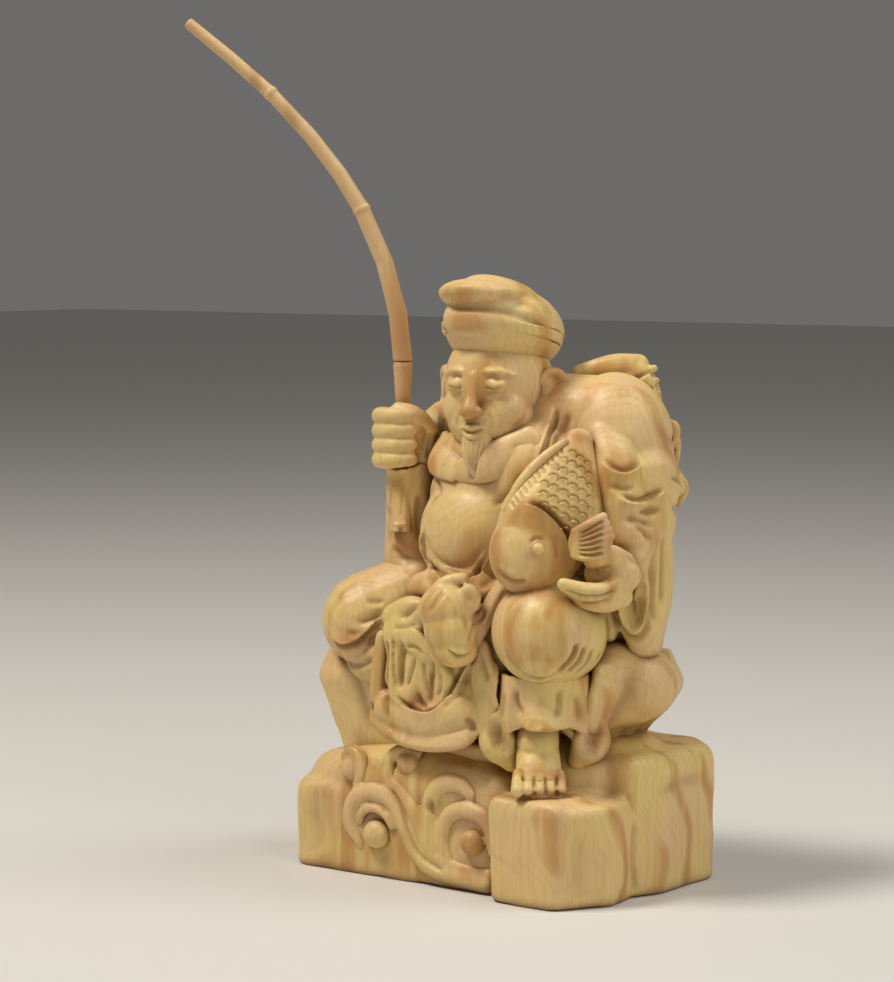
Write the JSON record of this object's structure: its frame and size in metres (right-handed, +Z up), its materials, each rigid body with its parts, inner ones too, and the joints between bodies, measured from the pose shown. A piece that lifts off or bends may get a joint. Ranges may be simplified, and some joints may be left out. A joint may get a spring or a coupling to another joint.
{
  "type": "carved wooden figurine",
  "caption": "Carved boxwood figurine of a seated robed fisherman on a rock, holding a fish under one arm and a thin curved rod that lifts out of his fist.",
  "frame": {"origin": "on the flat underside of the rock, below the middle of the seated figure", "axes": "+Z up, -Y is the way the figure looks (front), +X is towards the figure's left hand"},
  "size_m": [0.0948, 0.057, 0.1694],
  "materials": {
    "carved_boxwood": "satin",
    "rod_boxwood": "satin"
  },
  "bodies": {
    "carving": {"rock_base": "carved_boxwood", "rock_seat": "carved_boxwood", "wave_scrolls": "carved_boxwood", "robe_torso": "carved_boxwood", "robe_collar": "carved_boxwood", "robe_skirt": "carved_boxwood", "sash_knot": "carved_boxwood", "right_leg": "carved_boxwood", "left_leg": "carved_boxwood", "left_cuff": "carved_boxwood", "left_foot": "carved_boxwood", "head": "carved_boxwood", "ears": "carved_boxwood", "beard": "carved_boxwood", "cap_band": "carved_boxwood", "cap_crown": "carved_boxwood", "right_sleeve": "carved_boxwood", "right_fist": "carved_boxwood", "rod_grip": "carved_boxwood", "left_sleeve": "carved_boxwood", "left_hand": "carved_boxwood", "bream_body": "carved_boxwood", "bream_fins": "carved_boxwood", "bream_tail": "carved_boxwood"},
    "rod_butt": {"rod_foot": "rod_boxwood"},
    "rod_top": {"rod_pole": "rod_boxwood"}
  },
  "joints": [
    {"name": "rod_lift", "type": "slide", "parent": "carving", "child": "rod_butt", "axis": [0, 0, 1], "range_m": [0, 0.02]},
    {"name": "rod_turn", "type": "hinge", "parent": "rod_butt", "child": "rod_top", "pos_m": [-0.02, -0.009, 0.1015], "axis": [0, 0, 1], "continuous": true}
  ]
}
